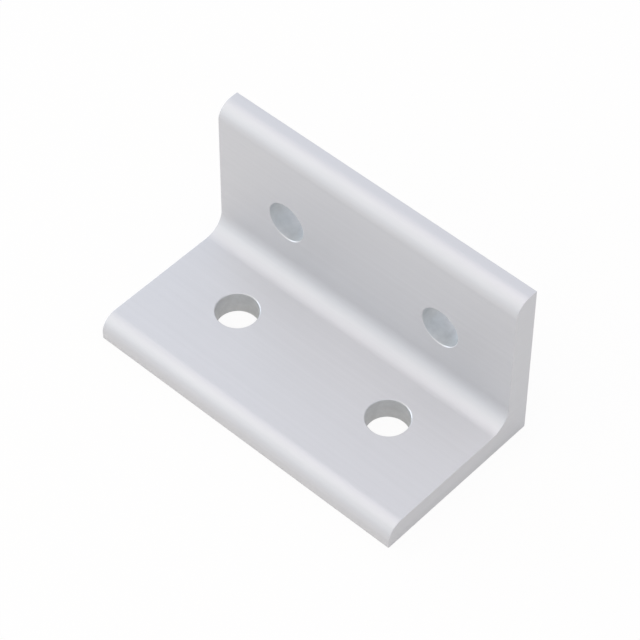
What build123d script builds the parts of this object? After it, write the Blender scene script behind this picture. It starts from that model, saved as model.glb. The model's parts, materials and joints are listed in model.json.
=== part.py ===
from build123d import *
import os

# Corner bracket that joins T-slot profiles at a right angle: a short length of extruded aluminium
# angle, sawn off and drilled, with a row of screw holes through each of its two legs.
#
# Frame, in millimetres: the origin is the centre of the base leg's seating face. +X runs along the
# extrusion, the base leg lies on the XY plane, and the wall leg stands at its +Y side, seating at +Y.

# The extruded section
base_leg = 39.8         # heel to tip of the leg that lies flat
wall_leg = 39.8         # heel to tip of the leg that stands up
thickness = 5.5         # wall of both legs
root_radius = 4.6       # fillet in the corner between the legs
tip_round = 3.65        # round along the inner edge of each leg's tip, short of the whole wall
outer_ease = 0.2        # small round that the die leaves along the heel and the outer tip edges

# The profile that it joins, which sets the row of holes and the cut length
slot_pitch = 40.0       # from one slot of the profile to the next
slots = 2               # slots that each leg spans, with one screw in each
end_inset = 2.0         # how far each sawn end stays inside the profile's edge

# The screw holes
screw_diameter = 8.0    # M8
screw_clearance = 1.0   # on the diameter, so that the bracket can be squared up before tightening
base_hole_line = 19.8   # heel to the base leg's row of holes
wall_hole_line = 19.8   # heel to the wall leg's row of holes
rim_break = 0.15        # chamfer that breaks both rims of each hole

# What follows from them
length = slots * slot_pitch - 2 * end_inset
hole_radius = (screw_diameter + screw_clearance) / 2
heel_y = base_leg / 2                           # the wall leg's seating face
tip_radius = min(tip_round, 0.9 * thickness)    # no rounder than the wall allows

# Each leg's seat: a plane on its outer face, centred on its row of holes and facing into the wall
base_seat = Plane((0, heel_y - base_hole_line, 0), x_dir=(1, 0, 0), z_dir=(0, 0, 1))
wall_seat = Plane((0, heel_y, wall_hole_line), x_dir=(1, 0, 0), z_dir=(0, -1, 0))


def angle_section():
    """The L of the extrusion on the YZ plane, each corner with the round that the die gives it."""
    corners = {
        (heel_y, 0): outer_ease,
        (heel_y - base_leg, 0): outer_ease,
        (heel_y - base_leg, thickness): tip_radius,
        (heel_y - thickness, thickness): root_radius,
        (heel_y - thickness, wall_leg): tip_radius,
        (heel_y, wall_leg): outer_ease,
    }
    outline = FilletPolyline(*corners.keys(), radius=corners.values(), close=True)
    return Plane.YZ * make_face(outline)


def screw_hole():
    """Cutter for one hole, standing on a seat: a bore that opens at 45 degrees through both faces."""
    half = Polyline(
        (0, -rim_break),
        (hole_radius + 2 * rim_break, -rim_break),
        (hole_radius, rim_break),
        (hole_radius, thickness - rim_break),
        (hole_radius + 2 * rim_break, thickness + rim_break),
        (0, thickness + rim_break),
        close=True,
    )
    return revolve(Plane.XZ * make_face(half), Axis.Z)


def corner_bracket():
    """The length of angle, with a row of holes drilled through each leg and their rims broken."""
    bracket = extrude(angle_section(), amount=length / 2, both=True)
    for seat in (base_seat, wall_seat):
        for place in GridLocations(slot_pitch, 0, slots, 1):
            bracket -= seat * place * screw_hole()
    return bracket


os.makedirs("parts", exist_ok=True)
export_step(corner_bracket(), "parts/corner_bracket.step")
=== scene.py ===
"""Corner bracket for T-slot profiles: a drilled length of extruded angle with a satin anodised skin.

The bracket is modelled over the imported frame, finished, and set in a plain pale studio. Sizes are in metres.
"""

import json
import math

import bmesh
import bpy
from bpy.props import FloatProperty, FloatVectorProperty, PointerProperty
from mathutils import Euler, Matrix, Vector


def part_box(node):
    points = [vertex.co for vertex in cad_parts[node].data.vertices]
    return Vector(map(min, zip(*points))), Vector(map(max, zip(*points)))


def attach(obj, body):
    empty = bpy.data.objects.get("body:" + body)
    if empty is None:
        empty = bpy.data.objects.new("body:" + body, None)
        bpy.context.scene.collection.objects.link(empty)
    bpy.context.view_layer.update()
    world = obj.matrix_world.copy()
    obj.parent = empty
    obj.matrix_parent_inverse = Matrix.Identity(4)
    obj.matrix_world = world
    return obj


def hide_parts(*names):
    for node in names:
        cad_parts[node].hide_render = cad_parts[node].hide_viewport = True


bl_info = {
    "name": "T-Slot Corner Bracket",
    "version": (1, 0, 0),
    "blender": (4, 5, 0),
    "location": "3D View > Sidebar > Bracket",
    "description": "Models a drilled and anodised corner bracket and the studio that it stands in",
    "category": "Add Mesh",
}

MM = 0.001
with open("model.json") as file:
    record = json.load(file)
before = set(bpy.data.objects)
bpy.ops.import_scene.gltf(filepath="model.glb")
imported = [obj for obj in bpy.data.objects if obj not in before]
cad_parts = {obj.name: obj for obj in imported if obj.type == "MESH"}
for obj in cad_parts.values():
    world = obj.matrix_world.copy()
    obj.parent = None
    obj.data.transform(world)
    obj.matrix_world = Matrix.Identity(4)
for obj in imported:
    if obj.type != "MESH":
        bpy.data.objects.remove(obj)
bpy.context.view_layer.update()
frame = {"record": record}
LOWEST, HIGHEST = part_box("corner_bracket")

ALONG = Vector((1, 0, 0))           # the way that the angle was extruded
TOLERANCE = 0.001 * MM              # within which points lie in one plane
ARC_SEGMENTS = 24                   # in the root and in the round of each tip
EASE_SEGMENTS = 4                   # in the slight round of an outer corner
HOLE_SEGMENTS = 96                  # round a hole, a multiple of 8 so that the corners of its pad line up
DEBURR_SEGMENTS = 3
SHARP_ANGLE = math.radians(35)      # at which two faces meet in a hard edge
SAWN_END, UPRIGHT_HOLE, LEVEL_HOLE, HOLE_RIM = 1, 2, 3, 4    # material slots after the skin's


# ---------------------------------------------------------------- what a user would change


class BracketSizes(bpy.types.PropertyGroup):
    """Sizes of the section and its edges, which the frame's box and mounts don't give"""

    wall: FloatProperty(
        name="Wall", description="Thickness of both legs",
        default=5.5 * MM, min=1 * MM, subtype="DISTANCE", unit="LENGTH")
    root_radius: FloatProperty(
        name="Root Radius", description="Fillet in the corner between the legs",
        default=4.6 * MM, min=0.1 * MM, subtype="DISTANCE", unit="LENGTH")
    tip_radius: FloatProperty(
        name="Tip Radius", description="Round along the inner edge of each leg's tip",
        default=3.65 * MM, min=0.1 * MM, subtype="DISTANCE", unit="LENGTH")
    outer_ease: FloatProperty(
        name="Outer Ease", description="Slight round that the die leaves along the outer corners",
        default=0.2 * MM, min=0.01 * MM, subtype="DISTANCE", unit="LENGTH")
    rim_break: FloatProperty(
        name="Rim Break", description="Edge taken off both rims of each hole",
        default=0.15 * MM, min=0.01 * MM, subtype="DISTANCE", unit="LENGTH")
    hole_pad: FloatProperty(
        name="Hole Pad", description="Width of the flat kept round each hole in the mesh",
        default=14 * MM, min=5 * MM, subtype="DISTANCE", unit="LENGTH")
    deburr: FloatProperty(
        name="Deburr", description="How far the edges of the sawn ends are taken off",
        default=0.08 * MM, min=0.01 * MM, subtype="DISTANCE", unit="LENGTH")


class AnodisedFinish(bpy.types.PropertyGroup):
    """Colours and sheen of the clear anodised aluminium"""

    metallic: FloatProperty(
        name="Metallic", description="How much the metal shows through the clear oxide",
        default=0.8, min=0, max=1, subtype="FACTOR")
    skin_colour: FloatVectorProperty(
        name="Skin Colour", description="Etched and clear anodised skin of the extrusion",
        default=(0.66, 0.665, 0.675), size=3, min=0, max=1, subtype="COLOR")
    skin_roughness: FloatProperty(
        name="Skin Roughness", description="Spread of the sheen on the etched skin",
        default=0.59, min=0, max=1, subtype="FACTOR")
    die_lines: FloatProperty(
        name="Die Lines", description="Depth of the fine lines that the die draws along the angle",
        default=0.003 * MM, min=0, subtype="DISTANCE", unit="LENGTH")
    end_colour: FloatVectorProperty(
        name="End Colour", description="Sawn ends, anodised with the rest",
        default=(0.64, 0.652, 0.662), size=3, min=0, max=1, subtype="COLOR")
    end_roughness: FloatProperty(
        name="End Roughness", description="Spread of the sheen on the sawn ends",
        default=0.55, min=0, max=1, subtype="FACTOR")
    hole_colour: FloatVectorProperty(
        name="Hole Colour", description="Walls of the drilled holes",
        default=(0.652, 0.672, 0.677), size=3, min=0, max=1, subtype="COLOR")
    hole_roughness: FloatProperty(
        name="Hole Roughness", description="Spread of the sheen on the walls of the holes",
        default=0.6, min=0, max=1, subtype="FACTOR")
    rim_colour: FloatVectorProperty(
        name="Rim Colour", description="Broken rims of the holes, which are cut cleaner than the etched skin",
        default=(0.68, 0.68, 0.685), size=3, min=0, max=1, subtype="COLOR")
    rim_roughness: FloatProperty(
        name="Rim Roughness", description="Spread of the sheen on the rims",
        default=0.45, min=0, max=1, subtype="FACTOR")


class StudioLight(bpy.types.PropertyGroup):
    """Surround, softboxes and floor"""

    surround: FloatVectorProperty(
        name="Surround", description="Colour of the pale surround, as the bracket sees it",
        default=(0.737, 0.767, 0.838), size=3, min=0, max=1, subtype="COLOR")
    top_glow: FloatVectorProperty(
        name="Top Softbox", description="Light that the overhead softbox adds to the surround",
        default=(1.635, 1.425, 1.39), size=3, min=0, max=4, subtype="COLOR")
    front_glow: FloatVectorProperty(
        name="Front Softbox", description="Light that the front left softbox adds to the surround",
        default=(0.565, 0.505, 0.365), size=3, min=0, max=4, subtype="COLOR")
    end_glow: FloatVectorProperty(
        name="End Softbox", description="Light that the low softbox off the left end adds to the surround",
        default=(2.21, 2.585, 3.03), size=3, min=0, max=4, subtype="COLOR")
    floor_colour: FloatVectorProperty(
        name="Floor Colour", description="Paint of the floor",
        default=(0.81, 0.785, 0.745), size=3, min=0, max=1, subtype="COLOR")
    floor_glow: FloatProperty(
        name="Floor Glow", description="Share of the floor that glows white where it is looked at straight",
        default=0.92, min=0, max=1, subtype="FACTOR")
    mirrored_glow: FloatProperty(
        name="Mirrored Glow", description="Share of the floor that glows white in the metal's reflections",
        default=0.15, min=0, max=1, subtype="FACTOR")


# ---------------------------------------------------------------- the drilled angle


def l_section(mesh, sizes):
    """A face with the outline of the extrusion, at one sawn end, each corner rounded as the die has it."""
    inner_y, inner_z = HIGHEST.y - sizes.wall, LOWEST.z + sizes.wall
    corners = (
        (LOWEST.y, LOWEST.z, sizes.outer_ease, EASE_SEGMENTS),
        (LOWEST.y, inner_z, sizes.tip_radius, ARC_SEGMENTS),
        (inner_y, inner_z, sizes.root_radius, ARC_SEGMENTS),
        (inner_y, HIGHEST.z, sizes.tip_radius, ARC_SEGMENTS),
        (HIGHEST.y, HIGHEST.z, sizes.outer_ease, EASE_SEGMENTS),
        (HIGHEST.y, LOWEST.z, sizes.outer_ease, EASE_SEGMENTS),
    )
    points = [mesh.verts.new((LOWEST.x, y, z)) for y, z, _, _ in corners]
    mesh.faces.new(points)
    for point, (_, _, radius, segments) in zip(points, corners):
        bmesh.ops.bevel(
            mesh, geom=[point], affect="VERTICES", offset=radius, offset_type="OFFSET",
            segments=segments, profile=0.5, material=-1)


def draw_out(mesh):
    """Draws the section out to the far sawn end, which closes the angle at both ends."""
    drawn = bmesh.ops.extrude_face_region(mesh, geom=mesh.faces[:])["geom"]
    end = [item for item in drawn if isinstance(item, bmesh.types.BMVert)]
    bmesh.ops.translate(mesh, verts=end, vec=ALONG * (HIGHEST.x - LOWEST.x))


def screw_holes():
    """The mouth of each hole on its leg's seating face, the way it runs into the wall, and its radius."""
    for mount in frame["record"]["mounts"]:
        if mount["kind"] == "bolt_pattern":
            middle, inward = Vector(mount["pos_m"]), -Vector(mount["axis"])
            half_pitch = ALONG * mount["dims"]["spacing_x_mm"] * MM / 2
            for mouth in (middle - half_pitch, middle + half_pitch):
                yield mouth, inward, mount["dims"]["hole_r_mm"] * MM


def mark_pad(mesh, mouth, inward, width):
    """Cuts the edges of a square pad round the mouth of a hole, through the whole bracket."""
    for across in (ALONG, inward.cross(ALONG)):
        for side in (-width / 2, width / 2):
            bmesh.ops.bisect_plane(
                mesh, geom=mesh.verts[:] + mesh.edges[:] + mesh.faces[:], dist=TOLERANCE,
                plane_co=mouth + across * side, plane_no=across)


def open_edges_at(mesh, point, normal):
    """The open edges that lie in the plane through this point."""
    return [
        edge for edge in mesh.edges
        if edge.is_boundary and all(abs((v.co - point).dot(normal)) < TOLERANCE for v in edge.verts)
    ]


def drill(mesh, mouth, inward, radius, sizes):
    """Drills one hole through a leg, breaks both rims, and joins it to the leg's faces."""
    turned = inward.to_track_quat("Z", "X").to_matrix().to_4x4()
    steps = (
        (0, radius + sizes.rim_break),
        (sizes.rim_break, radius),
        (sizes.wall - sizes.rim_break, radius),
        (sizes.wall, radius + sizes.rim_break),
    )
    rings = []
    for depth, ring_radius in steps:
        place = Matrix.Translation(mouth + inward * depth) @ turned
        ring = bmesh.ops.create_circle(mesh, segments=HOLE_SEGMENTS, radius=ring_radius, matrix=place)
        rings.append(list({edge for vert in ring["verts"] for edge in vert.link_edges}))
    bore = UPRIGHT_HOLE if abs(inward.z) > abs(inward.y) else LEVEL_HOLE
    for nearer, further, slot in zip(rings, rings[1:], (HOLE_RIM, bore, HOLE_RIM)):
        for face in bmesh.ops.bridge_loops(mesh, edges=nearer + further)["faces"]:
            face.material_index = slot
    for depth in (0, sizes.wall):
        centre = mouth + inward * depth
        pad = next(f for f in mesh.faces if (f.calc_center_median() - centre).length < 10 * TOLERANCE)
        outline = pad.edges[:]
        bmesh.ops.delete(mesh, geom=[pad], context="FACES_ONLY")
        bmesh.ops.subdivide_edges(mesh, edges=outline, cuts=HOLE_SEGMENTS // 4 - 1)
        bmesh.ops.bridge_loops(mesh, edges=open_edges_at(mesh, centre, inward))


def is_sawn(face):
    """Whether the face lies in either sawn end."""
    along = [vert.co.x for vert in face.verts]
    return max(along) < LOWEST.x + TOLERANCE or min(along) > HIGHEST.x - TOLERANCE


def deburr_ends(mesh, offset):
    """Takes the sharp edge off all round both sawn ends."""
    edges = [edge for edge in mesh.edges if len({is_sawn(face) for face in edge.link_faces}) == 2]
    bmesh.ops.bevel(
        mesh, geom=edges, affect="EDGES", offset=offset, offset_type="OFFSET",
        segments=DEBURR_SEGMENTS, profile=0.5, material=-1)


class BRACKET_OT_drilled_angle(bpy.types.Operator):
    """Model the drilled length of angle and give it its anodised finish"""

    bl_idname = "bracket.drilled_angle"
    bl_label = "Drilled Angle"

    def execute(self, context):
        sizes = context.scene.bracket_sizes
        mesh = bmesh.new()
        l_section(mesh, sizes)
        draw_out(mesh)
        holes = list(screw_holes())
        for mouth, inward, _ in holes:
            mark_pad(mesh, mouth, inward, sizes.hole_pad)
        for mouth, inward, radius in holes:
            drill(mesh, mouth, inward, radius, sizes)
        bmesh.ops.recalc_face_normals(mesh, faces=mesh.faces)
        deburr_ends(mesh, sizes.deburr)
        for face in mesh.faces:
            face.smooth = True
            if is_sawn(face):
                face.material_index = SAWN_END
        for edge in mesh.edges:
            edge.smooth = edge.calc_face_angle(0) < SHARP_ANGLE
        data = bpy.data.meshes.new("drilled_angle")
        mesh.to_mesh(data)
        mesh.free()
        angle = bpy.data.objects.new("drilled_angle", data)
        context.scene.collection.objects.link(angle)
        angle.modifiers.new("Flat Faces Lead", "WEIGHTED_NORMAL").keep_sharp = True
        finish = context.scene.bracket_finish
        data.materials.append(anodised_skin(finish))
        data.materials.append(sawn_end(finish))
        data.materials.append(drilled_wall(finish, "upright_hole", ring_stretch=(0.03, 0.03, 1)))
        data.materials.append(drilled_wall(finish, "level_hole", ring_stretch=(0.03, 1, 0.03)))
        data.materials.append(hole_rim(finish))
        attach(angle, "root")
        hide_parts("corner_bracket")
        return {"FINISHED"}


# ---------------------------------------------------------------- finishes


def new_finish(name, metallic, colour, roughness):
    """A metal of one colour, and its shader, whose sockets take the pattern."""
    material = bpy.data.materials.new(name)
    material.use_nodes = True
    shader = material.node_tree.nodes["Principled BSDF"]
    shader.inputs["Base Color"].default_value = (*colour, 1)
    shader.inputs["Metallic"].default_value = metallic
    shader.inputs["Roughness"].default_value = roughness
    return material, shader


def pattern(material, scale, detail, stretch=(1, 1, 1)):
    """Noise over the piece's own coordinates, drawn out along the axes whose stretch is low."""
    nodes, links = material.node_tree.nodes, material.node_tree.links
    place = nodes.new("ShaderNodeTexCoord")
    drawn_out = nodes.new("ShaderNodeMapping")
    drawn_out.inputs["Scale"].default_value = stretch
    noise = nodes.new("ShaderNodeTexNoise")
    noise.inputs["Scale"].default_value = scale
    noise.inputs["Detail"].default_value = detail
    links.new(place.outputs["Object"], drawn_out.inputs["Vector"])
    links.new(drawn_out.outputs["Vector"], noise.inputs["Vector"])
    return noise.outputs["Fac"]


def spread(material, value, low=0, high=1):
    """Turns noise, most of which lies close about one half, into the whole range from low to high."""
    nodes, links = material.node_tree.nodes, material.node_tree.links
    ramp = nodes.new("ShaderNodeMapRange")
    ramp.inputs["From Min"].default_value = 0.3
    ramp.inputs["From Max"].default_value = 0.7
    ramp.inputs["To Min"].default_value = low
    ramp.inputs["To Max"].default_value = high
    links.new(value, ramp.inputs["Value"])
    return ramp.outputs["Result"]


def tint(material, noise, colour, contrast):
    """The colour, darker to lighter with the noise by this share of it."""
    nodes, links = material.node_tree.nodes, material.node_tree.links
    mix = nodes.new("ShaderNodeMix")
    mix.data_type = "RGBA"
    mix.inputs["A"].default_value = (*(c * (1 - contrast) for c in colour), 1)
    mix.inputs["B"].default_value = (*(c * (1 + contrast) for c in colour), 1)
    links.new(spread(material, noise), mix.inputs["Factor"])
    return mix.outputs["Result"]


def relief(material, value, depth, under=None):
    """Raises the surface by the value times the depth, over any relief there is under it."""
    nodes, links = material.node_tree.nodes, material.node_tree.links
    bump = nodes.new("ShaderNodeBump")
    bump.inputs["Distance"].default_value = depth
    links.new(value, bump.inputs["Height"])
    if under:
        links.new(under, bump.inputs["Normal"])
    return bump.outputs["Normal"]


def anodised_skin(finish):
    """Satin skin: faint die lines along the angle, the etch's fine grain, and a slight cloudiness."""
    material, shader = new_finish("anodised_skin", finish.metallic, finish.skin_colour, finish.skin_roughness)
    links = material.node_tree.links
    lines = pattern(material, scale=1500, detail=3, stretch=(0.01, 1, 1))
    grain = pattern(material, scale=5000, detail=2)
    cloud = pattern(material, scale=90, detail=3, stretch=(0.5, 1, 1))
    cloudiness = 0.025
    links.new(tint(material, lines, finish.skin_colour, contrast=0.012), shader.inputs["Base Color"])
    links.new(
        spread(material, cloud, finish.skin_roughness - cloudiness, finish.skin_roughness + cloudiness),
        shader.inputs["Roughness"])
    drawn = relief(material, lines, depth=finish.die_lines)
    links.new(relief(material, grain, depth=0.002 * MM, under=drawn), shader.inputs["Normal"])
    return material


def sawn_end(finish):
    """Ends cut by a fine saw: close lines across the section, softened by the etch."""
    material, shader = new_finish("sawn_end", finish.metallic, finish.end_colour, finish.end_roughness)
    links = material.node_tree.links
    lines = pattern(material, scale=2500, detail=3, stretch=(1, 0.02, 1))
    links.new(tint(material, lines, finish.end_colour, contrast=0.015), shader.inputs["Base Color"])
    links.new(relief(material, lines, depth=0.003 * MM), shader.inputs["Normal"])
    return material


def drilled_wall(finish, name, ring_stretch):
    """Walls of the holes: the drill's fine rings, which close round the hole, and the rub of its chips."""
    material, shader = new_finish(name, finish.metallic, finish.hole_colour, finish.hole_roughness)
    links = material.node_tree.links
    rings = pattern(material, scale=2500, detail=2, stretch=ring_stretch)
    rubbed = pattern(material, scale=800, detail=3)
    links.new(tint(material, rubbed, finish.hole_colour, contrast=0.045), shader.inputs["Base Color"])
    links.new(relief(material, rings, depth=0.002 * MM), shader.inputs["Normal"])
    return material


def hole_rim(finish):
    """Rims broken by a countersink: a fine grain, a little brighter than the etched skin."""
    material, shader = new_finish("hole_rim", finish.metallic, finish.rim_colour, finish.rim_roughness)
    grain = pattern(material, scale=4000, detail=2)
    colour = tint(material, grain, finish.rim_colour, contrast=0.02)
    material.node_tree.links.new(colour, shader.inputs["Base Color"])
    return material


# ---------------------------------------------------------------- the stage


class BRACKET_OT_studio(bpy.types.Operator):
    """Set the bracket on a pale floor under soft light, with the camera above its right end"""

    bl_idname = "bracket.studio"
    bl_label = "Studio"

    def execute(self, context):
        scene = context.scene
        light = scene.bracket_light
        scene.view_settings.view_transform = "Standard"
        add_floor(scene, light)
        add_surround(scene, light)
        softboxes = (
            # name, azimuth and elevation in degrees, width and height, glow
            ("top_softbox", -30, 78, 1.0, 1.0, light.top_glow),
            ("front_softbox", -135, 36, 1.4, 1.1, light.front_glow),
            ("end_softbox", 180, 12, 2.0, 0.4, light.end_glow),
        )
        for name, azimuth, elevation, width, height, glow in softboxes:
            add_softbox(scene, name, azimuth, elevation, width, height, glow)
        add_camera(scene)
        return {"FINISHED"}


def add_floor(scene, light):
    """A wide floor, level with the bracket's underside."""
    half_width = 3
    mesh = bmesh.new()
    bmesh.ops.create_grid(mesh, x_segments=1, y_segments=1, size=half_width)
    data = bpy.data.meshes.new("floor")
    mesh.to_mesh(data)
    mesh.free()
    floor = bpy.data.objects.new("floor", data)
    scene.collection.objects.link(floor)
    data.materials.append(floor_white(light))


def larger(nodes, links, *values):
    """The largest of a few sockets' values."""
    largest = values[0]
    for value in values[1:]:
        either = nodes.new("ShaderNodeMath")
        either.operation = "MAXIMUM"
        links.new(largest, either.inputs[0])
        links.new(value, either.inputs[1])
        largest = either.outputs[0]
    return largest


def floor_white(light):
    """A pale floor whose white is mostly a glow, with enough paint under it to keep the bracket's shadow."""
    material = bpy.data.materials.new("floor_white")
    material.use_nodes = True
    nodes, links = material.node_tree.nodes, material.node_tree.links
    nodes.clear()
    out = nodes.new("ShaderNodeOutputMaterial")
    path = nodes.new("ShaderNodeLightPath")
    seen = larger(
        nodes, links, path.outputs["Is Camera Ray"], path.outputs["Is Glossy Ray"],
        path.outputs["Is Transmission Ray"])
    share = nodes.new("ShaderNodeMapRange")
    share.inputs["To Min"].default_value = light.mirrored_glow
    share.inputs["To Max"].default_value = light.floor_glow
    links.new(path.outputs["Is Camera Ray"], share.inputs["Value"])
    glowing = nodes.new("ShaderNodeMath")
    glowing.operation = "MULTIPLY"
    links.new(seen, glowing.inputs[0])
    links.new(share.outputs["Result"], glowing.inputs[1])
    paint = nodes.new("ShaderNodeBsdfDiffuse")
    paint.inputs["Color"].default_value = (*light.floor_colour, 1)
    mix = nodes.new("ShaderNodeMixShader")
    links.new(glowing.outputs[0], mix.inputs["Fac"])
    links.new(paint.outputs["BSDF"], mix.inputs[1])
    links.new(nodes.new("ShaderNodeEmission").outputs["Emission"], mix.inputs[2])
    links.new(mix.outputs["Shader"], out.inputs["Surface"])
    return material


def add_surround(scene, light):
    """A pale surround on every side, plain white where it is looked at straight."""
    world = bpy.data.worlds.new("surround")
    world.use_nodes = True
    nodes, links = world.node_tree.nodes, world.node_tree.links
    pale = nodes["Background"]
    pale.inputs["Color"].default_value = (*light.surround, 1)
    white = nodes.new("ShaderNodeBackground")
    white.inputs["Color"].default_value = (1, 1, 1, 1)
    path = nodes.new("ShaderNodeLightPath")
    mix = nodes.new("ShaderNodeMixShader")
    links.new(path.outputs["Is Camera Ray"], mix.inputs["Fac"])
    links.new(pale.outputs["Background"], mix.inputs[1])
    links.new(white.outputs["Background"], mix.inputs[2])
    links.new(mix.outputs["Shader"], nodes["World Output"].inputs["Surface"])
    scene.world = world


def add_softbox(scene, name, azimuth, elevation, width, height, glow):
    """A softbox aimed at the bracket, which adds this glow to the surround behind it."""
    distance = 1.2
    brightest = max(glow)
    data = bpy.data.lights.new(name, "AREA")
    data.shape = "RECTANGLE"
    data.size, data.size_y = width, height
    data.color = [part / brightest for part in glow]
    data.energy = brightest * math.pi * width * height
    lamp = bpy.data.objects.new(name, data)
    scene.collection.objects.link(lamp)
    middle = Matrix.Translation((0, 0, HIGHEST.z / 2))
    turn = Euler((math.radians(90 - elevation), 0, math.radians(azimuth + 90)), "XYZ").to_matrix().to_4x4()
    lamp.matrix_world = middle @ turn @ Matrix.Translation((0, 0, distance))


def add_camera(scene):
    """Looks down on the bracket from its right end, in front of the base leg."""
    azimuth, elevation, roll = math.radians(42.34), math.radians(49.50), math.radians(0.287)
    aim, distance = Vector((0.9, 1.5, 18.0)) * MM, 541.7 * MM
    data = bpy.data.cameras.new("camera")
    data.lens = 158.8
    data.clip_start, data.clip_end = 0.01, 20
    camera = bpy.data.objects.new("camera", data)
    scene.collection.objects.link(camera)
    turn = Euler((math.pi / 2 - elevation, 0, azimuth), "XYZ").to_matrix().to_4x4()
    camera.matrix_world = (
        Matrix.Translation(aim) @ turn @ Matrix.Rotation(roll, 4, "Z") @ Matrix.Translation((0, 0, distance)))
    scene.camera = camera


# ---------------------------------------------------------------- the add-on


class BRACKET_PT_panel(bpy.types.Panel):
    """Lists the bracket's sizes, finish and light, and the operators that make them"""

    bl_label = "Corner Bracket"
    bl_idname = "BRACKET_PT_panel"
    bl_space_type = "VIEW_3D"
    bl_region_type = "UI"
    bl_category = "Bracket"

    def draw(self, context):
        for group in (context.scene.bracket_sizes, context.scene.bracket_finish, context.scene.bracket_light):
            box = self.layout.box()
            for name in group.__annotations__:
                box.prop(group, name)
        for operator in (BRACKET_OT_drilled_angle, BRACKET_OT_studio):
            self.layout.operator(operator.bl_idname)


CLASSES = (
    BracketSizes, AnodisedFinish, StudioLight, BRACKET_OT_drilled_angle, BRACKET_OT_studio, BRACKET_PT_panel,
)


def register():
    for item in CLASSES:
        bpy.utils.register_class(item)
    bpy.types.Scene.bracket_sizes = PointerProperty(type=BracketSizes)
    bpy.types.Scene.bracket_finish = PointerProperty(type=AnodisedFinish)
    bpy.types.Scene.bracket_light = PointerProperty(type=StudioLight)


def unregister():
    del bpy.types.Scene.bracket_light
    del bpy.types.Scene.bracket_finish
    del bpy.types.Scene.bracket_sizes
    for item in reversed(CLASSES):
        bpy.utils.unregister_class(item)


def main():
    register()
    bpy.ops.bracket.drilled_angle()
    bpy.ops.bracket.studio()


if __name__ == "__main__":
    main()
